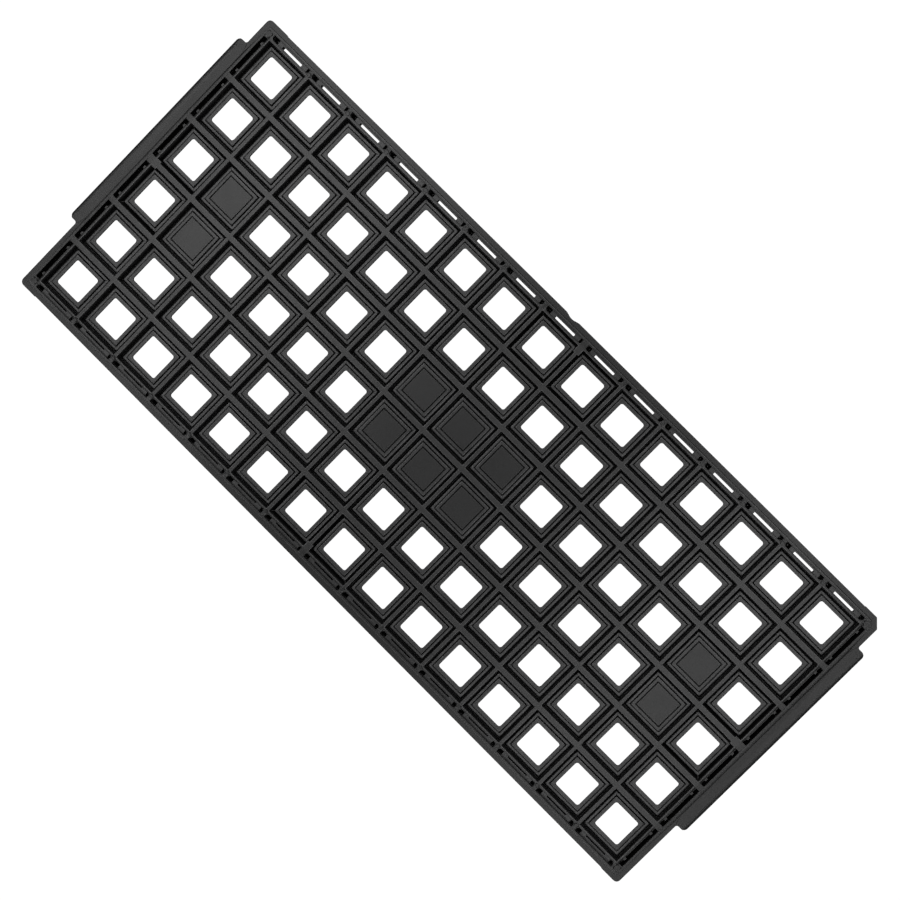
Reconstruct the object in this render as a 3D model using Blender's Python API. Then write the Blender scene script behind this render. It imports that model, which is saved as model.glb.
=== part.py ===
"""Matrix tray for square flat packages: one injection-moulded piece with 6 by 15 pockets.

Metres, +Z up. The origin is the centre of the plane the tray rests on, X runs along its length.
Eighty pockets are open through the floor, and ten are closed pads for a vacuum pick-up.
"""
import math

import bmesh
import bpy
from mathutils import Vector

# Overall sizes
BODY_LENGTH = 0.3150
BODY_WIDTH = 0.1359
TAB_OVERALL_LENGTH = 0.3226
OVERALL_HEIGHT = 0.00762
STACK_HEIGHT = 0.00635          # the shoulder the next tray rests on

# Pocket grid
COLUMNS = 15
ROWS = 6
COLUMN_PITCH = 0.0203
ROW_PITCH = 0.0210
CLOSED_CELLS = [(1, 2), (1, 3), (6, 2), (6, 3), (7, 2), (7, 3), (8, 2), (8, 3), (13, 2), (13, 3)]

# Outline
CORNER_RADIUS = 0.0018
CORNER_CHAMFER = 0.0031         # at +X +Y only
CORNER_BLOCK = 0.0079           # length of the full-width stretch at each end of a long side
SIDE_RELIEF = 0.0002
SCALLOP_WIDTH = 0.0056          # in the middle of the +Y side
SCALLOP_DEPTH = 0.0007
TAB_LENGTH = 0.0921
TAB_OFFSET = 0.0092             # the tabs sit off centre, towards +Y
TAB_THICKNESS = 0.00254
TAB_RADIUS = 0.0016

# Stacking features
SHOULDER_WIDTH = 0.00215        # from the outer face in to the raised plateau
SKIRT_WIDTH = 0.0019
STACK_RECESS_DEPTH = 0.0013

# One pocket, from the mouth inwards: half-sizes are from the pocket's centre
MOUTH_HALF = 0.0095
LEAD_RING_HALF = 0.00835        # the lower step, under a package's leads
SEAT_HALF = 0.0071              # the upper step, under a package's body
HOLE_HALF = 0.00578
HOLE_CORNER = 0.0009
UNDER_WELL_HALF = 0.0076
UNDER_SEAT_HALF = 0.0066

# Levels above the resting plane
CHANNEL_FLOOR = 0.0026
LEAD_RING_TOP = 0.0041
SEAT_TOP = 0.0050               # also the top of the closed pads
UNDER_WELL_TOP = 0.0030
UNDER_SEAT_TOP = 0.0039

# Slots between the pockets and the stacking lip
MOAT_LEDGE = 0.0052
END_SLOT_BOTTOM = 0.0022
SIDE_MOAT_INNER = 0.0629        # across the tray, from its centre line
SIDE_MOAT_OUTER = 0.06475
SIDE_MOAT_HALF_LENGTH = 0.0093
SIDE_SLOT_HALF_LENGTH = 0.0050
SIDE_SLOT_WIDTH = 0.0009
END_SLOT_INNER = 0.15255
END_SLOT_OUTER = 0.1543
END_SLOT_HALF_LENGTH = 0.0093

# Mouth corners filled where a rib is wider: column, row, side in x, side in y, length in x and in y
WIDE_RIB_BLOCKS = [
    (7, 0, 1, 1, 0.0007, 0.0027),
    (8, 0, -1, 1, 0.0007, 0.0027),
    (6, 5, 1, -1, 0.0007, 0.0027),
    (7, 5, -1, -1, 0.0007, 0.0027),
    (0, 2, -1, -1, 0.0022, 0.0007),
    (0, 3, -1, 1, 0.0022, 0.0007),
    (14, 2, 1, -1, 0.0022, 0.0007),
    (14, 3, 1, 1, 0.0022, 0.0007),
]

PROUD = 0.0010                  # how far a cutter runs past the face it cuts through
SINK = 0.0005                   # how far a joined block runs into the solid it joins
ARC_STEPS = 4


def clear_scene():
    for old in list(bpy.data.objects):
        bpy.data.objects.remove(old, do_unlink=True)


def new_collection(name):
    collection = bpy.data.collections.new(name)
    bpy.context.scene.collection.children.link(collection)
    return collection


def arc(centre, radius, start_deg, end_deg, steps=ARC_STEPS):
    """Points along a circular arc, both ends included."""
    points = []
    for k in range(steps + 1):
        angle = math.radians(start_deg + (end_deg - start_deg) * k / steps)
        points.append((centre[0] + radius * math.cos(angle), centre[1] + radius * math.sin(angle)))
    return points


def scallop_points(edge_y):
    """The finger notch in a long side, from +X to -X."""
    half = SCALLOP_WIDTH / 2
    radius = (half ** 2 + SCALLOP_DEPTH ** 2) / (2 * SCALLOP_DEPTH)
    centre = (0.0, edge_y + radius - SCALLOP_DEPTH)
    sweep = math.degrees(math.asin(half / radius))
    return arc(centre, radius, 270 + sweep, 270 - sweep, 6)


def body_outline():
    """The skirt's outline: three round corners, one chamfer, relieved sides and the notch."""
    x = BODY_LENGTH / 2
    y = BODY_WIDTH / 2
    r = CORNER_RADIUS
    block = x - CORNER_BLOCK
    side = y - SIDE_RELIEF
    points = [(x, y - CORNER_CHAMFER), (x - CORNER_CHAMFER, y), (block, y), (block, side)]
    points += scallop_points(side)
    points += [(-block, side), (-block, y)]
    points += arc((-x + r, y - r), r, 90, 180)
    points += arc((-x + r, -y + r), r, 180, 270)
    points += [(-block, -y), (-block, -side), (block, -side), (block, -y)]
    points += arc((x - r, -y + r), r, 270, 360)
    return points


def plateau_outline():
    """The raised stacking plateau, one shoulder width inside the skirt."""
    x = BODY_LENGTH / 2 - SHOULDER_WIDTH
    y = BODY_WIDTH / 2 - SHOULDER_WIDTH
    r = CORNER_RADIUS
    points = [(x, y - CORNER_CHAMFER), (x - CORNER_CHAMFER, y)]
    points += arc((-x + r, y - r), r, 90, 180)
    points += arc((-x + r, -y + r), r, 180, 270)
    points += arc((x - r, -y + r), r, 270, 360)
    return points


def recess_outline():
    """The shallow recess underneath that the tray below fits into."""
    x = BODY_LENGTH / 2 - SKIRT_WIDTH
    y = BODY_WIDTH / 2 - SKIRT_WIDTH
    return [(x, y - CORNER_CHAMFER), (x - CORNER_CHAMFER, y), (-x, y), (-x, -y), (x, -y)]


def tab_outline(side):
    """One end tab; side is +1 or -1 along X."""
    tip = TAB_OVERALL_LENGTH / 2
    root = BODY_LENGTH / 2 - SHOULDER_WIDTH / 2
    low = TAB_OFFSET - TAB_LENGTH / 2
    high = TAB_OFFSET + TAB_LENGTH / 2
    r = TAB_RADIUS
    points = [(root, low)]
    points += arc((tip - r, low + r), r, 270, 360)
    points += arc((tip - r, high - r), r, 0, 90)
    points += [(root, high)]
    return [(side * px, py) for px, py in points]


def prism(name, outline, bottom, top, collection):
    """A flat outline drawn as a filled 2D curve and extruded between two levels, as a mesh."""
    curve = bpy.data.curves.new(name, "CURVE")
    curve.dimensions = "2D"
    curve.fill_mode = "BOTH"
    curve.extrude = (top - bottom) / 2
    spline = curve.splines.new("POLY")
    spline.points.add(len(outline) - 1)
    for point, (x, y) in zip(spline.points, outline):
        point.co = (x, y, 0.0, 1.0)
    spline.use_cyclic_u = True
    drawn = bpy.data.objects.new(name + "_curve", curve)
    drawn.location.z = (bottom + top) / 2
    collection.objects.link(drawn)
    bpy.context.view_layer.update()
    evaluated = drawn.evaluated_get(bpy.context.evaluated_depsgraph_get())
    mesh = bpy.data.meshes.new_from_object(evaluated)
    placement = drawn.matrix_world.copy()
    bpy.data.objects.remove(drawn, do_unlink=True)
    clean = bmesh.new()
    clean.from_mesh(mesh)
    bmesh.ops.remove_doubles(clean, verts=clean.verts, dist=0.00001)
    bmesh.ops.recalc_face_normals(clean, faces=clean.faces)
    clean.to_mesh(mesh)
    clean.free()
    solid = bpy.data.objects.new(name, mesh)
    solid.matrix_world = placement
    collection.objects.link(solid)
    return solid


def block_object(name, boxes, collection):
    """One object made of separate boxes; each box is its low corner and its high corner."""
    shape = bmesh.new()
    for low, high in boxes:
        low, high = Vector(low), Vector(high)
        made = bmesh.ops.create_cube(shape, size=1.0)
        bmesh.ops.scale(shape, vec=high - low, verts=made["verts"])
        bmesh.ops.translate(shape, vec=(low + high) / 2, verts=made["verts"])
    mesh = bpy.data.meshes.new(name)
    shape.to_mesh(mesh)
    shape.free()
    solid = bpy.data.objects.new(name, mesh)
    collection.objects.link(solid)
    return solid


def cell_centres():
    for column in range(COLUMNS):
        for row in range(ROWS):
            x = (column - (COLUMNS - 1) / 2) * COLUMN_PITCH
            y = ((ROWS - 1) / 2 - row) * ROW_PITCH
            yield column, row, x, y


def square_box(x, y, half, bottom, top):
    return (x - half, y - half, bottom), (x + half, y + half, top)


def cell_boxes(half, bottom, top):
    """The same square box in every cell."""
    return [square_box(x, y, half, bottom, top) for _column, _row, x, y in cell_centres()]


def wide_rib_boxes():
    """Blocks in the mouth corners where a rib is wider, sunk into the ribs beside them."""
    centres = {(column, row): (x, y) for column, row, x, y in cell_centres()}
    boxes = []
    for column, row, side_x, side_y, length_x, length_y in WIDE_RIB_BLOCKS:
        x, y = centres[column, row]
        xs = sorted((x + side_x * (MOUTH_HALF - length_x), x + side_x * (MOUTH_HALF + SINK)))
        ys = sorted((y + side_y * (MOUTH_HALF - length_y), y + side_y * (MOUTH_HALF + SINK)))
        boxes.append(((xs[0], ys[0], CHANNEL_FLOOR - SINK), (xs[1], ys[1], OVERALL_HEIGHT)))
    return boxes


def hole_cutter(collection):
    """Square through holes with cut corners, one for each open pocket."""
    shape = bmesh.new()
    bottom = UNDER_SEAT_TOP - PROUD
    top = OVERALL_HEIGHT + PROUD
    for column, row, x, y in cell_centres():
        if (column, row) in CLOSED_CELLS:
            continue
        made = bmesh.ops.create_cube(shape, size=1.0)
        scale = (2 * HOLE_HALF, 2 * HOLE_HALF, top - bottom)
        bmesh.ops.scale(shape, vec=scale, verts=made["verts"])
        bmesh.ops.translate(shape, vec=(x, y, (bottom + top) / 2), verts=made["verts"])
    upright = [edge for edge in shape.edges
               if abs(edge.verts[0].co.z - edge.verts[1].co.z) > PROUD]
    bmesh.ops.bevel(shape, geom=upright, offset=HOLE_CORNER, offset_type="OFFSET", segments=1,
                    profile=0.5, affect="EDGES")
    mesh = bpy.data.meshes.new("through_holes")
    shape.to_mesh(mesh)
    shape.free()
    solid = bpy.data.objects.new("through_holes", mesh)
    collection.objects.link(solid)
    return solid


def side_moat_boxes():
    """Ledges and drain slots between the outer rows and the lip on both long sides."""
    ledges = []
    slots = []
    top = OVERALL_HEIGHT + PROUD
    for column in range(COLUMNS):
        x = (column - (COLUMNS - 1) / 2) * COLUMN_PITCH
        for side in (-1, 1):
            near, far = sorted((side * SIDE_MOAT_INNER, side * SIDE_MOAT_OUTER))
            end = SIDE_MOAT_HALF_LENGTH
            ledges.append(((x - end, near, MOAT_LEDGE), (x + end, far, top)))
            near, far = sorted((side * SIDE_MOAT_INNER, side * (SIDE_MOAT_INNER + SIDE_SLOT_WIDTH)))
            slots.append(((x - SIDE_SLOT_HALF_LENGTH, near, -PROUD),
                          (x + SIDE_SLOT_HALF_LENGTH, far, top - PROUD / 2)))
    return ledges, slots


def end_slot_boxes():
    boxes = []
    for row in range(ROWS):
        y = ((ROWS - 1) / 2 - row) * ROW_PITCH
        for side in (-1, 1):
            near, far = sorted((side * END_SLOT_INNER, side * END_SLOT_OUTER))
            boxes.append(((near, y - END_SLOT_HALF_LENGTH, END_SLOT_BOTTOM),
                          (far, y + END_SLOT_HALF_LENGTH, OVERALL_HEIGHT + PROUD)))
    return boxes


def apply_operand(target, operand, operation):
    """Joins or cuts the target with a helper object that the build leaves out."""
    step = target.modifiers.new(operand.name, "BOOLEAN")
    step.operation = operation
    step.object = operand
    step.solver = "EXACT"
    operand.hide_render = True
    operand.display_type = "WIRE"


def moulded_plastic():
    material = bpy.data.materials.new("carbon_filled_plastic")
    material.use_nodes = True
    surface = material.node_tree.nodes["Principled BSDF"]
    surface.inputs["Base Color"].default_value = (0.030, 0.030, 0.031, 1.0)
    surface.inputs["Roughness"].default_value = 0.55
    surface.inputs["Metallic"].default_value = 0.0
    return material


def build_tray():
    parts = new_collection("matrix_tray")
    helpers = new_collection("cutters")
    tray = prism("tray_moulding", body_outline(), 0.0, STACK_HEIGHT, parts)
    top = OVERALL_HEIGHT + PROUD

    plateau = prism("plateau", plateau_outline(), STACK_HEIGHT - SINK, OVERALL_HEIGHT, helpers)
    apply_operand(tray, plateau, "UNION")
    for side in (-1, 1):
        tab = prism("end_tab", tab_outline(side), STACK_HEIGHT - TAB_THICKNESS, STACK_HEIGHT, helpers)
        apply_operand(tray, tab, "UNION")

    recess = prism("stack_recess", recess_outline(), -PROUD, STACK_RECESS_DEPTH, helpers)
    apply_operand(tray, recess, "DIFFERENCE")
    mouths = block_object("pocket_mouths", cell_boxes(MOUTH_HALF, CHANNEL_FLOOR, top), helpers)
    apply_operand(tray, mouths, "DIFFERENCE")
    rings = block_object("lead_rings", cell_boxes(LEAD_RING_HALF, CHANNEL_FLOOR - SINK, LEAD_RING_TOP),
                         helpers)
    apply_operand(tray, rings, "UNION")
    seats = block_object("seats", cell_boxes(SEAT_HALF, LEAD_RING_TOP - SINK, SEAT_TOP), helpers)
    apply_operand(tray, seats, "UNION")
    apply_operand(tray, block_object("wide_ribs", wide_rib_boxes(), helpers), "UNION")

    wells = block_object("under_wells", cell_boxes(UNDER_WELL_HALF, -PROUD, UNDER_WELL_TOP), helpers)
    apply_operand(tray, wells, "DIFFERENCE")
    hollows = block_object("under_seats", cell_boxes(UNDER_SEAT_HALF, 0.0, UNDER_SEAT_TOP), helpers)
    apply_operand(tray, hollows, "DIFFERENCE")
    apply_operand(tray, hole_cutter(helpers), "DIFFERENCE")

    ledges, slots = side_moat_boxes()
    apply_operand(tray, block_object("side_ledges", ledges, helpers), "DIFFERENCE")
    apply_operand(tray, block_object("side_slots", slots, helpers), "DIFFERENCE")
    apply_operand(tray, block_object("end_slots", end_slot_boxes(), helpers), "DIFFERENCE")
    tray.data.materials.append(moulded_plastic())


clear_scene()
build_tray()
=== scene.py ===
"""Studio scene of a matrix component tray: a fine moulded mesh, plastic, white floor, lights, camera.

Lengths of the tray are in millimetres until the mesh is made. The tray lies on z = 0, +X along its
length towards the end with the cut corner, +Y towards the side with the finger notch.
"""

import math

import bmesh
import bpy
from mathutils import Matrix, Vector
from mathutils.geometry import delaunay_2d_cdt


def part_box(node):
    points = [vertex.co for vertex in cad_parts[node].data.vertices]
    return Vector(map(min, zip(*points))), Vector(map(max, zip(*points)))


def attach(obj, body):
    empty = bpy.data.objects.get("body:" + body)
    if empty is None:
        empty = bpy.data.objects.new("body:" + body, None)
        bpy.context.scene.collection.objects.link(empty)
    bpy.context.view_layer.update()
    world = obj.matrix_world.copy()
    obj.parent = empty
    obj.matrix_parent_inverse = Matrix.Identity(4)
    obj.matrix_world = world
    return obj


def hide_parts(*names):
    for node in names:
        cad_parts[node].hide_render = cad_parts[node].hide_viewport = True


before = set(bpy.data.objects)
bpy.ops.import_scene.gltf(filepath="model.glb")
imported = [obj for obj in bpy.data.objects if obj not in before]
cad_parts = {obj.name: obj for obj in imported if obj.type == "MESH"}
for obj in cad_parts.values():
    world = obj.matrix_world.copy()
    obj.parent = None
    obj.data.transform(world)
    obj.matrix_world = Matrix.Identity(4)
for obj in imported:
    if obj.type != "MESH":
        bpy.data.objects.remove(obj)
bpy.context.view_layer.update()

# Outline and levels
TRAY_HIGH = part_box("tray_moulding")[1]
HALF_OVERALL = TRAY_HIGH.x * 1000
HALF_WIDTH = TRAY_HIGH.y * 1000
TOP = TRAY_HIGH.z * 1000
HALF_BODY = 157.5
SHOULDER_TOP = 6.35
TAB_UNDER = 3.81
TAB_LOW_Y = -36.85
TAB_HIGH_Y = 55.25
CORNER_RADIUS = 1.8
TAB_RADIUS = 1.6
TAB_FOOT_RADIUS = 0.9
CHAMFER = 3.1
SHOULDER_WIDTH = 2.15
CORNER_BLOCK = 7.9
BLOCK_RAMP = 0.3
SIDE_RELIEF = 0.2
SIDE_BOW = 0.15
SCALLOP_HALF = 2.8
SCALLOP_DEPTH = 0.7
SCALLOP_LEAD = 0.6
SKIRT_WIDTH = 1.9
STACK_RECESS = 1.3
LEDGE_INNER = 160.4
LEDGE_DROP = 0.25
TAB_EDGE_TOP = 5.65
PANEL_INNER = 156.1
PANEL_OUTER = 160.0
PANEL_LOW_Y = -34.0
PANEL_HIGH_Y = 52.2

# Pocket grid
COLUMNS = 15
ROWS = 6
COLUMN_PITCH = 20.3
ROW_PITCH = 21.0
CLOSED_CELLS = {(column, row) for column in (1, 6, 7, 8, 13) for row in (2, 3)}
MOUTH = 9.5
RING_OUTER = 8.35
RING_INNER = 7.5
SEAT_OUTER = 7.1
HOLE = 5.78
SEAT = 5.0
RING = 4.1
CHANNEL = 2.5
CHANNEL_WALL = 3.2
CHANNEL_OUTER = 9.2
CHANNEL_INNER = 9.12
NOTCHED_CHANNEL_OUTER = 8.6
NOTCHED_CHANNEL_INNER = 8.52
SEAT_UNDER = 3.9
RING_UNDER = 3.0
HOLLOW_TOP = 6.6
HOLLOW_FOOT = 6.7
WELL = 7.6
PLATE_GROOVE = 5.8
PLATE_GROOVE_DEPTH = 0.7
GUTTER = 7.24
GUTTER_FLOOR = 3.7

# How much painted highlight lightens an edge, the lead ring or a seat, 0 to 1
MOUTH_HIGHLIGHT_BAND = 0.3
RING_HIGHLIGHT = 0.75
SEAT_HIGHLIGHT = 0.35
LEDGE_HIGHLIGHT = 0.6
LIP_HIGHLIGHT = 0.8

# Edge moats and end slots
MOAT_INNER = 62.92
MOAT_OUTER = 64.75
MOAT_END = (9.2, 0.72)
MOAT_END_AT_WIDE_RIB = (8.75, 0.3)
PAD = 5.2
PIT_START_LOW = 6.9
PIT_START_HIGH = 7.7
SLOT_LOW_X = 4.7
SLOT_HIGH_X = 5.1
SLOT_WIDTH = 0.9
SLOT_TAPER = 0.25
PIT_WALL = 3.4
PIT_FLOOR = 2.0
END_SLOT_INNER = 152.55
END_SLOT_OUTER = 154.3
END_SLOT_HALF = 9.3
END_SLOT_MIDDLE_GAP = 1.7
BUMP_TOP = 6.6
BUMP_PROUD = 0.95
BUMP_FROM_MIDDLE = 6.7
BUMP_HALF = 0.7
BUMP_FACE_HALF = 0.5

# Ejector pin traces in the top plane
SMALL_MARK = 0.72
SMALL_MARK_Y = 63.05
LARGE_MARK = 1.15
LARGE_MARK_X = 153.4
LARGE_MARK_Y = 63.6
MARK_POINTS = 20

# Mouth corners filled where a rib is wider, by cell: side in x, side in y, length in x, length in y
WIDE_RIBS = {
    (7, 0): (1, 1, 0.7, 2.7),
    (8, 0): (-1, 1, 0.7, 2.7),
    (6, 5): (1, -1, 0.7, 2.7),
    (7, 5): (-1, -1, 0.7, 2.7),
    (0, 2): (-1, -1, 2.2, 0.7),
    (0, 3): (-1, 1, 2.2, 0.7),
    (14, 2): (1, -1, 2.2, 0.7),
    (14, 3): (1, 1, 2.2, 0.7),
}

# Rounding: segments of a corner, size of an edge's fillet, how far its middle point lies off the edge
STEPS = 4
FILLET = 0.1
FILLET_MIDDLE = 0.03
FINE_FILLET = 0.07
FINE_FILLET_MIDDLE = 0.02
LEAST_RADIUS = 0.04
MARGIN = 0.1

# Studio, in metres
LIGHT_HEIGHT = 1.6
WORLD_LOW = 0.32
WORLD_HIGH = 0.03
CAMERA_PLACE = (0.04765, 0.06907, 0.75)
CAMERA_AIM = (0.002129, 0.001571, 0.005)
CAMERA_RIGHT = (0.70658, 0.69957, -0.10655)
LENS = 81.3636


def offset_corners(corners, inset):
    """The polygon moved inwards by inset; its corners are (x, y, radius), counter-clockwise."""
    moved = []
    count = len(corners)
    for index, (x, y, radius) in enumerate(corners):
        before = Vector(corners[index - 1][:2])
        here = Vector((x, y))
        after = Vector(corners[(index + 1) % count][:2])
        first = (here - before).normalized()
        second = (after - here).normalized()
        left_first = Vector((-first.y, first.x))
        left_second = Vector((-second.y, second.x))
        shift = (left_first + left_second) / (1.0 + left_first.dot(left_second))
        turn = first.x * second.y - first.y * second.x
        if radius > 0.0:
            radius = max(radius - inset if turn > 0 else radius + inset, LEAST_RADIUS)
        moved.append((x + shift.x * inset, y + shift.y * inset, radius))
    return moved


def rounded(corners):
    """Points round a polygon whose corners are (x, y, radius); a radius of 0 gives one point."""
    points = []
    count = len(corners)
    for index, (x, y, radius) in enumerate(corners):
        if radius <= 0.0:
            points.append((x, y))
            continue
        here = Vector((x, y))
        back = (Vector(corners[index - 1][:2]) - here).normalized()
        ahead = (Vector(corners[(index + 1) % count][:2]) - here).normalized()
        half = back.angle(ahead) / 2.0
        reach = radius / math.tan(half)
        centre = here + (back + ahead).normalized() * (radius / math.sin(half))
        start = here + back * reach - centre
        end = here + ahead * reach - centre
        sweep = start.angle_signed(end)
        for step in range(STEPS + 1):
            turned = Matrix.Rotation(-sweep * step / STEPS, 2) @ start
            points.append(tuple(centre + turned))
    return points


class Moulding:
    """Points and faces of one closed mesh."""

    def __init__(self):
        self.points = []
        self.faces = []
        # Strength of the painted highlight at each point, 0 to 1
        self.painted_highlight = []

    def loop(self, flat_points, z, painted_highlight=0.0):
        """Adds points at one level with one strength of painted highlight, and returns their numbers.
        """
        first = len(self.points)
        self.points.extend((x, y, z) for x, y in flat_points)
        self.painted_highlight.extend([painted_highlight] * (len(self.points) - first))
        return list(range(first, len(self.points)))

    def bridge(self, lower, upper):
        """Joins two loops of as many points by four-sided faces."""
        count = len(lower)
        for index in range(count):
            after = (index + 1) % count
            self.faces.append((lower[index], lower[after], upper[after], upper[index]))

    def chain(self, loops):
        """Bridges every loop to the next."""
        for lower, upper in zip(loops, loops[1:]):
            self.bridge(lower, upper)

    def plate(self, outers, holes):
        """Fills the flat region inside the outer loops and outside the holes."""
        indices = []
        regions = []
        for loop in outers + holes:
            first = len(indices)
            indices.extend(loop)
            regions.append(list(range(first, first + len(loop))))
        flat = [Vector(self.points[i][:2]) for i in indices]
        result = delaunay_2d_cdt(flat, [], regions, 2, 1e-6)
        source = [origins[0] for origins in result[3]]
        for face in result[2]:
            self.faces.append(tuple(indices[source[i]] for i in face))


def square(centre, half, radius, notch=None, cut=False):
    """A rounded square round the centre.

    A notch gives one corner two more points. With cut, that corner is filled as well.
    """
    corners = []
    beyond = max(MOUTH - half, 0)
    for side_x, side_y in ((-1, -1), (1, -1), (1, 1), (-1, 1)):
        if not notch or (side_x, side_y) != notch[:2]:
            corners.append((side_x * half, side_y * half, radius))
            continue
        length_x, length_y = notch[2:]
        if cut:
            length_x = max(length_x - beyond, 0.12)
            length_y = max(length_y - beyond, 0.12)
        else:
            length_x = max(length_x, radius + MARGIN)
            length_y = max(length_y, radius + MARGIN)
        along = (side_x * half, side_y * (half - length_y), 0)
        across = (side_x * (half - length_x), side_y * half, 0)
        if cut:
            middle = (across[0], along[1], 0.05)
        else:
            middle = (side_x * half, side_y * half, radius)
        trio = [along, middle, across]
        corners += trio if side_x * side_y > 0 else trio[::-1]
    return [(centre[0] + x, centre[1] + y) for x, y in rounded(corners)]


def body_corners():
    """Outline of the tray with its tabs, cut corner, corner blocks and finger notch."""
    side = HALF_WIDTH - SIDE_RELIEF
    block = HALF_BODY - CORNER_BLOCK
    ramp = block - BLOCK_RAMP

    def bowed(x):
        return side + SIDE_BOW * (1 - (x / block) ** 2)

    corners = [(-HALF_BODY, -HALF_WIDTH, CORNER_RADIUS), (-block, -HALF_WIDTH, 0), (-ramp, -side, 0)]
    for x in (-120, -80, -40, 0, 40, 80, 120):
        corners.append((x, -bowed(x), 0))
    corners += [
        (ramp, -side, 0),
        (block, -HALF_WIDTH, 0),
        (HALF_BODY, -HALF_WIDTH, CORNER_RADIUS),
        (HALF_BODY, TAB_LOW_Y, TAB_FOOT_RADIUS),
        (HALF_OVERALL, TAB_LOW_Y, TAB_RADIUS),
        (HALF_OVERALL, TAB_HIGH_Y, TAB_RADIUS),
        (HALF_BODY, TAB_HIGH_Y, TAB_FOOT_RADIUS),
        (HALF_BODY, HALF_WIDTH - CHAMFER, 0.6),
        (HALF_BODY - CHAMFER, HALF_WIDTH, 0.6),
        (block, HALF_WIDTH, 0),
        (ramp, side, 0),
    ]
    for x in (120, 80, 40):
        corners.append((x, bowed(x), 0))
    edge = bowed(0)
    corners.append((SCALLOP_HALF + SCALLOP_LEAD, edge, 0.5))
    radius = (SCALLOP_HALF ** 2 + SCALLOP_DEPTH ** 2) / (2 * SCALLOP_DEPTH)
    reach = math.asin(SCALLOP_HALF / radius)
    for step in range(1, 8):
        angle = reach * (1 - step / 4)
        depth = radius * math.cos(angle) - radius + SCALLOP_DEPTH
        corners.append((radius * math.sin(angle), edge - depth, 0))
    corners.append((-SCALLOP_HALF - SCALLOP_LEAD, edge, 0.5))
    for x in (-40, -80, -120):
        corners.append((x, bowed(x), 0))
    corners += [
        (-ramp, side, 0),
        (-block, HALF_WIDTH, 0),
        (-HALF_BODY, HALF_WIDTH, CORNER_RADIUS),
        (-HALF_BODY, TAB_HIGH_Y, TAB_FOOT_RADIUS),
        (-HALF_OVERALL, TAB_HIGH_Y, TAB_RADIUS),
        (-HALF_OVERALL, TAB_LOW_Y, TAB_RADIUS),
        (-HALF_BODY, TAB_LOW_Y, TAB_FOOT_RADIUS),
    ]
    return corners


def clamped(flat_points, limit):
    """The same points, none farther than limit from the middle along X."""
    return [(max(-limit, min(limit, x)), y) for x, y in flat_points]


def inside_body(inset, radius, cut_radius):
    """Outline a given width inside the body, without tabs: the lip's foot or the skirt's inner edge."""
    x = HALF_BODY - inset
    y = HALF_WIDTH - inset
    cut = CHAMFER - inset * (2 - math.sqrt(2))
    return [
        (-x, -y, radius),
        (x, -y, radius),
        (x, y - cut, cut_radius),
        (x - cut, y, cut_radius),
        (-x, y, radius),
    ]


def column_x(column):
    return (column - (COLUMNS - 1) / 2) * COLUMN_PITCH


def row_y(row):
    return ((ROWS - 1) / 2 - row) * ROW_PITCH


def cells():
    """Column, row and centre of every cell."""
    for column in range(COLUMNS):
        for row in range(ROWS):
            yield column, row, (column_x(column), row_y(row))


def add_pocket(tray, centre, closed, notch):
    """One cell from its mouth to the underside; returns its loops in the top and bottom planes.

    The lists hold half width, corner radius, level and strength of painted highlight, from the top
    down.
    """
    floor_outer = NOTCHED_CHANNEL_OUTER if notch else CHANNEL_OUTER
    floor_inner = NOTCHED_CHANNEL_INNER if notch else CHANNEL_INNER
    mouth = [
        (MOUTH + MOUTH_HIGHLIGHT_BAND, 0.65, TOP, 0.2),
        (MOUTH + FINE_FILLET, 0.42, TOP, 1.0),
        (MOUTH + FINE_FILLET_MIDDLE, 0.34, TOP - FINE_FILLET_MIDDLE, 1.0),
        (MOUTH, 0.3, TOP - FINE_FILLET, 0.5),
        (MOUTH - 0.06, 0.3, CHANNEL_WALL, 0.0),
        (floor_outer, 0.3, CHANNEL, 0.0),
    ]
    inside = [
        (floor_inner, 0.3, CHANNEL, 0.0),
        (RING_OUTER + 0.02, 0.3, RING - 0.08, 0.3),
        (RING_OUTER - 0.06, 0.25, RING, 1.0),
        (RING_OUTER - 0.36, 0.22, RING, RING_HIGHLIGHT),
        (RING_INNER, 0.25, RING, 0.5),
        (GUTTER, 0.25, GUTTER_FLOOR, 0.0),
        (SEAT_OUTER, 0.25, SEAT - 0.08, 0.0),
        (SEAT_OUTER - 0.07, 0.25, SEAT, 1.0),
        (SEAT_OUTER - 0.35, 0.22, SEAT, SEAT_HIGHLIGHT),
    ]
    if closed:
        inside += [
            (PLATE_GROOVE + 0.26, 0.2, SEAT, SEAT_HIGHLIGHT),
            (PLATE_GROOVE + 0.02, 0.2, SEAT - PLATE_GROOVE_DEPTH, 0.0),
            (PLATE_GROOVE - 0.02, 0.1, SEAT - PLATE_GROOVE_DEPTH, 0.0),
            (PLATE_GROOVE - 0.26, 0.1, SEAT, 0.4),
            (PLATE_GROOVE - 0.55, 0.1, SEAT, 0.0),
        ]
    else:
        inside += [
            (HOLE + 0.35, 1.15, SEAT, SEAT_HIGHLIGHT),
            (HOLE + 0.08, 1.0, SEAT, 0.6),
            (HOLE + 0.02, 0.95, SEAT - 0.03, 0.4),
            (HOLE, 0.9, SEAT - 0.1, 0.0),
            (HOLE, 0.9, SEAT_UNDER, 0.0),
        ]
    loops = []
    for steps, cut in ((mouth, True), (inside, False)):
        for half, radius, z, painted_highlight in steps:
            loops.append(tray.loop(square(centre, half, radius, notch, cut), z, painted_highlight))
    tray.chain(loops)
    under = [loops[-1]]
    if closed:
        tray.faces.append(tuple(loops[-1]))
        under = [tray.loop(square(centre, HOLE, 0.9, notch), SEAT_UNDER)]
        tray.faces.append(tuple(under[0]))
    hollow = [
        (HOLLOW_TOP, SEAT_UNDER),
        (HOLLOW_FOOT, RING_UNDER),
        (WELL - MARGIN, RING_UNDER),
        (WELL, STACK_RECESS),
    ]
    for half, z in hollow:
        under.append(tray.loop(square(centre, half, 0.5, notch), z))
    tray.chain(under)
    return loops[0], under[-1]


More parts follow.
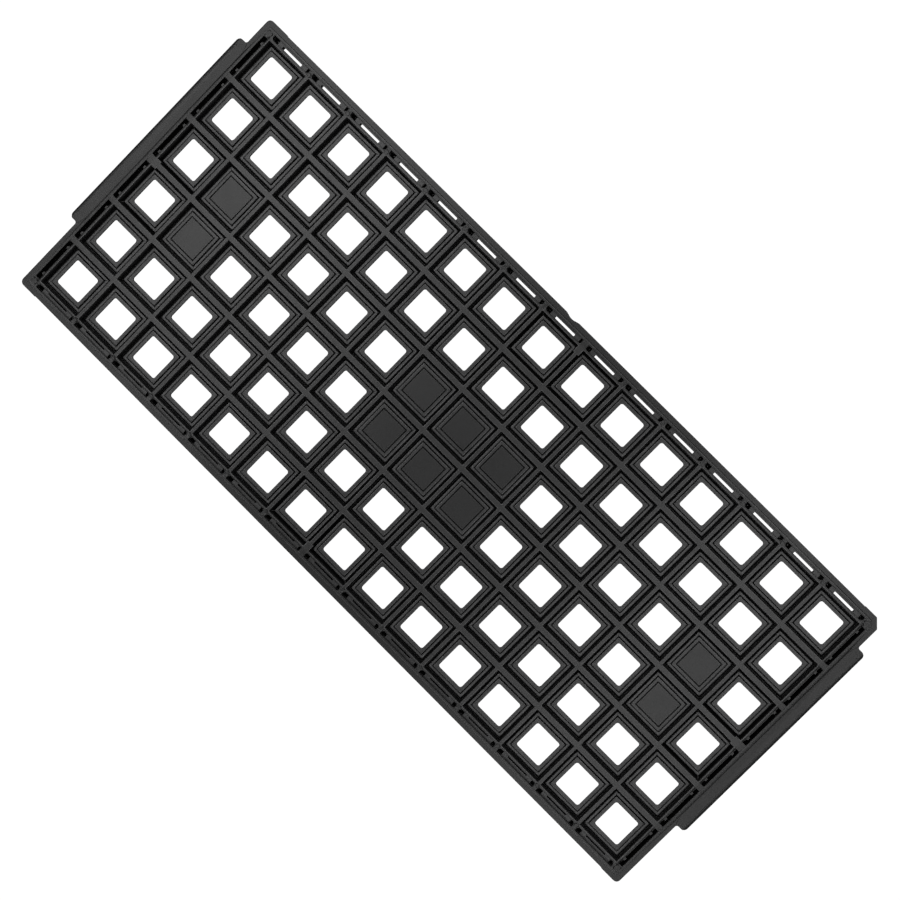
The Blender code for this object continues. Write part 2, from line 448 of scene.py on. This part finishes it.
def shrunk(flat_points, factor_x, factor_y):
    """The same points drawn in towards the middle of the box round them."""
    xs = [x for x, _y in flat_points]
    ys = [y for _x, y in flat_points]
    middle_x = (min(xs) + max(xs)) / 2
    middle_y = (min(ys) + max(ys)) / 2
    return [(middle_x + factor_x * (x - middle_x), middle_y + factor_y * (y - middle_y))
            for x, y in flat_points]


def rectangle(low_x, high_x, low_y, high_y, radius):
    """Corners of a rectangle."""
    return [
        (low_x, low_y, radius),
        (high_x, low_y, radius),
        (high_x, high_y, radius),
        (low_x, high_y, radius),
    ]


def mirrored(corners, side):
    """Corners given for the +Y side, placed on the side asked for and kept counter-clockwise."""
    if side > 0:
        return corners
    return [(x, -y, radius) for x, y, radius in reversed(corners)]


def add_moat(tray, x, side, low_end, high_end):
    """A moat between the perimeter rib and the lip, with two pads, two blind pits and a through slot.

    low_end and high_end are (reach, corner cut) towards -X and +X. Returns its loops in the top and
    bottom planes.
    """
    low, low_cut = low_end
    high, high_cut = high_end
    mouth = mirrored([
        (x - low + low_cut, MOAT_INNER, 0.12),
        (x + high - high_cut, MOAT_INNER, 0.12),
        (x + high, MOAT_INNER + high_cut, 0.12),
        (x + high, MOAT_OUTER, 0.2),
        (x - low, MOAT_OUTER, 0.2),
        (x - low, MOAT_INNER + low_cut, 0.12),
    ], side)
    walls = [
        tray.loop(rounded(offset_corners(mouth, -FILLET)), TOP),
        tray.loop(rounded(offset_corners(mouth, -FILLET_MIDDLE)), TOP - FILLET_MIDDLE),
        tray.loop(rounded(mouth), TOP - FILLET),
        tray.loop(rounded(offset_corners(mouth, 0.02)), PAD, LEDGE_HIGHLIGHT),
    ]
    tray.chain(walls)
    holes = []
    inner = MOAT_INNER + 0.04
    outer = MOAT_OUTER - 0.04
    pits = ((-1, PIT_START_LOW, low, low_cut), (1, PIT_START_HIGH, high, high_cut))
    for end, start, reach, cut in pits:
        reach -= 0.04
        pit = [
            (x + end * start, inner, 0.1),
            (x + end * (reach - cut), inner, 0.1),
            (x + end * reach, inner + cut, 0.1),
            (x + end * reach, outer, 0.22),
            (x + end * start, outer, 0.1),
        ]
        pit = mirrored(pit if end > 0 else pit[::-1], side)
        foot = rounded(offset_corners(pit, 0.03))
        walls_of_pit = [
            tray.loop(rounded(pit), PAD, LEDGE_HIGHLIGHT),
            tray.loop(foot, PIT_WALL),
            tray.loop(shrunk(foot, 0.2, 0.2), PIT_FLOOR),
        ]
        tray.chain(walls_of_pit)
        tray.faces.append(tuple(walls_of_pit[-1]))
        holes.append(walls_of_pit[0])
    near = inner + 0.14 if side > 0 else inner
    far = near + SLOT_WIDTH
    far_foot = far if side > 0 else far - SLOT_TAPER
    slot = mirrored(rectangle(x - SLOT_LOW_X, x + SLOT_HIGH_X, near, far, 0.2), side)
    slot_foot = mirrored(rectangle(x - SLOT_LOW_X, x + SLOT_HIGH_X, near, far_foot, 0.2), side)
    through = [tray.loop(rounded(slot), PAD, LEDGE_HIGHLIGHT), tray.loop(rounded(slot_foot), STACK_RECESS)]
    tray.chain(through)
    holes.append(through[0])
    tray.plate([walls[-1]], holes)
    return walls[0], through[-1]


def end_slot_corners(low_y, high_y, side, proud):
    """Outline of one end slot for the +X end, with two bumps on its inner wall standing proud."""
    middle = (low_y + high_y) / 2
    corners = [
        (END_SLOT_INNER, low_y, 0.25),
        (END_SLOT_OUTER, low_y, 0.25),
        (END_SLOT_OUTER, high_y, 0.25),
        (END_SLOT_INNER, high_y, 0.25),
    ]
    bump = ((BUMP_HALF, 0), (BUMP_FACE_HALF, proud), (-BUMP_FACE_HALF, proud), (-BUMP_HALF, 0))
    for y in (middle + BUMP_FROM_MIDDLE, middle - BUMP_FROM_MIDDLE):
        for along, out in bump:
            corners.append((END_SLOT_INNER + out, y + along, 0))
    if side > 0:
        return corners
    return [(-x, y, radius) for x, y, radius in reversed(corners)]


def add_end_slot(tray, low_y, high_y, side):
    """A blind slot along the tray's end; returns its loop in the top plane."""
    def outline(inset, proud=0.0):
        return rounded(offset_corners(end_slot_corners(low_y, high_y, side, proud), inset))

    walls = [
        tray.loop(outline(-FILLET), TOP),
        tray.loop(outline(-FILLET_MIDDLE), TOP - FILLET_MIDDLE),
        tray.loop(outline(0.0), TOP - FILLET),
        tray.loop(outline(0.0), BUMP_TOP),
        tray.loop(outline(0.0, BUMP_PROUD), BUMP_TOP),
        tray.loop(outline(0.04, BUMP_PROUD), PIT_WALL + MARGIN),
        tray.loop(outline(0.04), PIT_WALL),
        tray.loop(shrunk(outline(0.04), 0.12, 0.97), PIT_FLOOR),
    ]
    tray.chain(walls)
    tray.faces.append(tuple(walls[-1]))
    return walls[0]


def add_round_mark(tray, x, y, radius):
    """The shallow round trace of an ejector pin in the top plane."""
    def circle(size):
        turns = [math.tau * step / MARK_POINTS for step in range(MARK_POINTS)]
        return [(x + size * math.cos(turn), y + size * math.sin(turn)) for turn in turns]

    rim = [
        tray.loop(circle(radius), TOP),
        tray.loop(circle(radius - 0.06), TOP - 0.03),
        tray.loop(circle(radius - 0.14), TOP - 0.01),
    ]
    tray.chain(rim)
    tray.faces.append(tuple(rim[-1]))
    return rim[0]


def add_panel(tray, side):
    """The shallow panel on a tab's top; returns its rim."""
    low, high = sorted((side * PANEL_INNER, side * PANEL_OUTER))
    panel = rectangle(low, high, PANEL_LOW_Y, PANEL_HIGH_Y, 0.4)
    rim = [
        tray.loop(rounded(panel), SHOULDER_TOP),
        tray.loop(rounded(offset_corners(panel, 0.1)), SHOULDER_TOP - 0.1),
    ]
    tray.chain(rim)
    tray.faces.append(tuple(rim[-1]))
    return rim[0]


def build_tray():
    """The whole moulding: cells, moats, end slots and marks, then the lip, shoulder, tabs and skirt."""
    tray = Moulding()
    top_holes = []
    bottom_holes = []
    for column, row, centre in cells():
        cell = (column, row)
        top, bottom = add_pocket(tray, centre, cell in CLOSED_CELLS, WIDE_RIBS.get(cell))
        top_holes.append(top)
        bottom_holes.append(bottom)
    for side in (-1, 1):
        wide_rib = side * COLUMN_PITCH / 2
        for column in range(COLUMNS):
            x = column_x(column)
            before = x - COLUMN_PITCH / 2
            after = x + COLUMN_PITCH / 2
            ends = [MOAT_END_AT_WIDE_RIB if abs(rib - wide_rib) < 0.1 else MOAT_END
                    for rib in (before, after)]
            top, bottom = add_moat(tray, x, side, *ends)
            top_holes.append(top)
            bottom_holes.append(bottom)
            if column and abs(before - wide_rib) > 0.1:
                top_holes.append(add_round_mark(tray, before, side * SMALL_MARK_Y, SMALL_MARK))
        for row in range(ROWS):
            y = row_y(row)
            low_y = y - END_SLOT_HALF
            high_y = y + END_SLOT_HALF
            if y > 0:
                low_y = max(low_y, END_SLOT_MIDDLE_GAP)
            else:
                high_y = min(high_y, -END_SLOT_MIDDLE_GAP)
            top_holes.append(add_end_slot(tray, low_y, high_y, side))
        for end in (-1, 1):
            mark = add_round_mark(tray, end * LARGE_MARK_X, side * LARGE_MARK_Y, LARGE_MARK)
            top_holes.append(mark)

    plateau = inside_body(SHOULDER_WIDTH, 0.8, 0.4)
    lip = [
        tray.loop(rounded(offset_corners(plateau, -0.12)), SHOULDER_TOP),
        tray.loop(rounded(offset_corners(plateau, 0.1)), TOP - FILLET),
        tray.loop(rounded(offset_corners(plateau, 0.13)), TOP - FILLET_MIDDLE, LIP_HIGHLIGHT),
        tray.loop(rounded(offset_corners(plateau, 0.2)), TOP, 1.0),
        tray.loop(rounded(offset_corners(plateau, 0.45)), TOP),
    ]
    tray.chain(lip)
    tray.plate([lip[-1]], top_holes)

    body = body_corners()

    def outline(inset, limit):
        return clamped(rounded(offset_corners(body, inset)), limit)

    panels = [add_panel(tray, side) for side in (-1, 1)]
    rim = [
        tray.loop(outline(0.3, LEDGE_INNER - 0.3), SHOULDER_TOP),
        tray.loop(outline(0.08, LEDGE_INNER - 0.06), SHOULDER_TOP, LIP_HIGHLIGHT),
        tray.loop(outline(0.03, LEDGE_INNER - 0.02), SHOULDER_TOP - 0.03),
        tray.loop(clamped(rounded(body), LEDGE_INNER), SHOULDER_TOP - 0.08),
        tray.loop(clamped(rounded(body), LEDGE_INNER + 0.06), SHOULDER_TOP - LEDGE_DROP),
        tray.loop(rounded(offset_corners(body, 0.02)), TAB_EDGE_TOP),
        tray.loop(rounded(body), TAB_EDGE_TOP - 0.08),
        tray.loop(rounded(body), TAB_UNDER + 0.12),
        tray.loop(rounded(offset_corners(body, 0.12)), TAB_UNDER),
    ]
    tray.plate([rim[0]], [lip[0]] + panels)
    plain = [
        tray.loop(clamped(rounded(body), HALF_BODY), TAB_UNDER - 0.02),
        tray.loop(clamped(rounded(body), HALF_BODY), 0.15),
        tray.loop(outline(0.15, HALF_BODY - 0.15), 0.0),
    ]
    tray.chain(rim + plain)
    skirt = rounded(inside_body(SKIRT_WIDTH, 0.6, 0.3))
    inner = [tray.loop(skirt, 0.0), tray.loop(skirt, STACK_RECESS)]
    tray.chain(inner)
    tray.plate([plain[-1]], [inner[0]])
    tray.plate([inner[-1]], bottom_holes)
    return tray


def mesh_object(name, tray):
    """The mesh in metres, welded, with sharp edges kept and flat faces shaded flat."""
    mesh = bpy.data.meshes.new(name)
    mesh.from_pydata([(x / 1000, y / 1000, z / 1000) for x, y, z in tray.points], [], tray.faces)
    # Each point's painted-highlight strength, read by the material
    painted_highlight = mesh.attributes.new("painted_highlight", "FLOAT", "POINT")
    painted_highlight.data.foreach_set("value", tray.painted_highlight)
    work = bmesh.new()
    work.from_mesh(mesh)
    bmesh.ops.remove_doubles(work, verts=work.verts, dist=2e-6)
    bmesh.ops.dissolve_degenerate(work, edges=work.edges, dist=1e-6)
    bmesh.ops.recalc_face_normals(work, faces=work.faces)
    work.to_mesh(mesh)
    work.free()
    made = bpy.data.objects.new(name, mesh)
    bpy.context.scene.collection.objects.link(made)
    mesh.shade_smooth()
    mesh.set_sharp_from_angle(angle=math.radians(50))
    weighted = made.modifiers.new("flats_stay_flat", "WEIGHTED_NORMAL")
    weighted.mode = "FACE_AREA"
    weighted.weight = 100
    weighted.keep_sharp = True
    return made


def node(tree, kind, x, y, **values):
    """A new node; values go to the inputs of that name, or else to the node's own settings."""
    made = tree.nodes.new(kind)
    made.location = (x, y)
    for key, value in values.items():
        if key in made.inputs:
            made.inputs[key].default_value = value
        else:
            setattr(made, key, value)
    return made


def plastic_material():
    """Black carbon-filled plastic: finely textured, a little uneven, lighter where edges, the lead ring
    and seats carry a painted highlight.
    """
    material = bpy.data.materials.new("carbon_filled_plastic")
    material.use_nodes = True
    tree = material.node_tree
    tree.nodes.clear()
    link = tree.links.new
    out = node(tree, "ShaderNodeOutputMaterial", 900, 0)
    shader = node(tree, "ShaderNodeBsdfPrincipled", 600, 0)
    link(shader.outputs["BSDF"], out.inputs["Surface"])
    place = node(tree, "ShaderNodeTexCoord", -900, 0)
    grain = node(tree, "ShaderNodeTexNoise", -600, -200, Scale=2600.0, Detail=3.0, Roughness=0.6)
    clouds = node(tree, "ShaderNodeTexNoise", -600, 200, Scale=45.0, Detail=4.0, Roughness=0.55)
    link(place.outputs["Object"], grain.inputs["Vector"])
    link(place.outputs["Object"], clouds.inputs["Vector"])
    tone = node(tree, "ShaderNodeMix", -200, 200, data_type="RGBA")
    tone.inputs["A"].default_value = (0.006, 0.006, 0.0062, 1)
    tone.inputs["B"].default_value = (0.010, 0.010, 0.0103, 1)
    link(clouds.outputs["Fac"], tone.inputs["Factor"])
    gloss = node(tree, "ShaderNodeMapRange", -200, -50)
    gloss.inputs["To Min"].default_value = 0.26
    gloss.inputs["To Max"].default_value = 0.34
    link(clouds.outputs["Fac"], gloss.inputs["Value"])
    link(gloss.outputs["Result"], shader.inputs["Roughness"])
    bump = node(tree, "ShaderNodeBump", 200, -300, Strength=0.25, Distance=0.00002)
    link(grain.outputs["Fac"], bump.inputs["Height"])
    link(bump.outputs["Normal"], shader.inputs["Normal"])

    # Painted highlight: the stored strength, made patchy by noise, mixes the base colour towards a
    # light grey on marked edges, the lead ring and seats
    highlight_attribute = node(tree, "ShaderNodeAttribute", -600, 500, attribute_name="painted_highlight")
    patches = node(tree, "ShaderNodeTexNoise", -600, 750, Scale=400.0, Detail=3.0, Roughness=0.6)
    link(place.outputs["Object"], patches.inputs["Vector"])
    uneven = node(tree, "ShaderNodeMapRange", -400, 750)
    uneven.inputs["From Min"].default_value = 0.3
    uneven.inputs["From Max"].default_value = 0.7
    uneven.inputs["To Min"].default_value = 0.45
    uneven.inputs["To Max"].default_value = 0.95
    link(patches.outputs["Fac"], uneven.inputs["Value"])
    amount = node(tree, "ShaderNodeMath", -200, 600, operation="MULTIPLY")
    link(highlight_attribute.outputs["Fac"], amount.inputs[0])
    link(uneven.outputs["Result"], amount.inputs[1])
    highlighted = node(tree, "ShaderNodeMix", 100, 300, data_type="RGBA")
    highlighted.inputs["B"].default_value = (0.14, 0.14, 0.142, 1)
    link(amount.outputs["Value"], highlighted.inputs["Factor"])
    link(tone.outputs["Result"], highlighted.inputs["A"])
    link(highlighted.outputs["Result"], shader.inputs["Base Color"])
    return material


def add_floor():
    """White to the camera, grey to the light that falls on the tray."""
    bpy.ops.mesh.primitive_plane_add(size=6.0, location=(0, 0, 0))
    floor = bpy.context.object
    floor.name = "studio_floor"
    material = bpy.data.materials.new("studio_white")
    material.use_nodes = True
    tree = material.node_tree
    tree.nodes.clear()
    out = node(tree, "ShaderNodeOutputMaterial", 600, 0)
    mix = node(tree, "ShaderNodeMixShader", 300, 0)
    path = node(tree, "ShaderNodeLightPath", 0, 200)
    grey = node(tree, "ShaderNodeBsdfDiffuse", 0, 0, Color=(0.35, 0.35, 0.35, 1))
    white = node(tree, "ShaderNodeEmission", 0, -200, Strength=1.05)
    tree.links.new(path.outputs["Is Camera Ray"], mix.inputs["Fac"])
    tree.links.new(grey.outputs["BSDF"], mix.inputs[1])
    tree.links.new(white.outputs["Emission"], mix.inputs[2])
    tree.links.new(mix.outputs["Shader"], out.inputs["Surface"])
    floor.data.materials.append(material)


def add_world():
    """A dim studio: dark overhead, where only the panels shine, and brighter towards the walls."""
    world = bpy.data.worlds.new("studio")
    bpy.context.scene.world = world
    world.use_nodes = True
    tree = world.node_tree
    place = node(tree, "ShaderNodeTexCoord", -800, 0)
    parts = node(tree, "ShaderNodeSeparateXYZ", -600, 0)
    tree.links.new(place.outputs["Generated"], parts.inputs[0])
    level = node(tree, "ShaderNodeMapRange", -400, 0)
    level.inputs["From Min"].default_value = 0.35
    level.inputs["From Max"].default_value = 0.8
    level.inputs["To Min"].default_value = WORLD_LOW
    level.inputs["To Max"].default_value = WORLD_HIGH
    tree.links.new(parts.outputs["Z"], level.inputs["Value"])
    background = tree.nodes["Background"]
    background.inputs["Color"].default_value = (1, 1, 1, 1)
    tree.links.new(level.outputs["Result"], background.inputs["Strength"])


def add_light(name, x, y, size_x, size_y, power):
    """A long panel above the tray, facing straight down."""
    data = bpy.data.lights.new(name, "AREA")
    data.shape = "RECTANGLE"
    data.size = size_x
    data.size_y = size_y
    data.energy = power
    lamp = bpy.data.objects.new(name, data)
    lamp.location = (x, y, LIGHT_HEIGHT)
    bpy.context.scene.collection.objects.link(lamp)


def add_camera():
    """The photo's view, from above."""
    data = bpy.data.cameras.new("photo_view")
    camera = bpy.data.objects.new("photo_view", data)
    bpy.context.scene.collection.objects.link(camera)
    place = Vector(CAMERA_PLACE)
    back = (place - Vector(CAMERA_AIM)).normalized()
    right = Vector(CAMERA_RIGHT)
    right = (right - back * right.dot(back)).normalized()
    up = back.cross(right)
    turn = Matrix((right, up, back)).transposed().to_4x4()
    camera.matrix_world = Matrix.Translation(place) @ turn
    data.sensor_width = 36.0
    data.lens = LENS
    data.clip_end = 20.0
    bpy.context.scene.camera = camera


moulding = mesh_object("tray_moulding_fine", build_tray())
moulding.data.materials.append(plastic_material())
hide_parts("tray_moulding")
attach(moulding, "root")

add_floor()
add_world()
add_light("left_panel", -0.463, 0.579, 0.319, 2.06, 7.4)
add_light("right_panel", 0.291, 0.169, 0.20, 2.43, 5.6)
add_camera()
bpy.context.scene.view_settings.view_transform = "Standard"
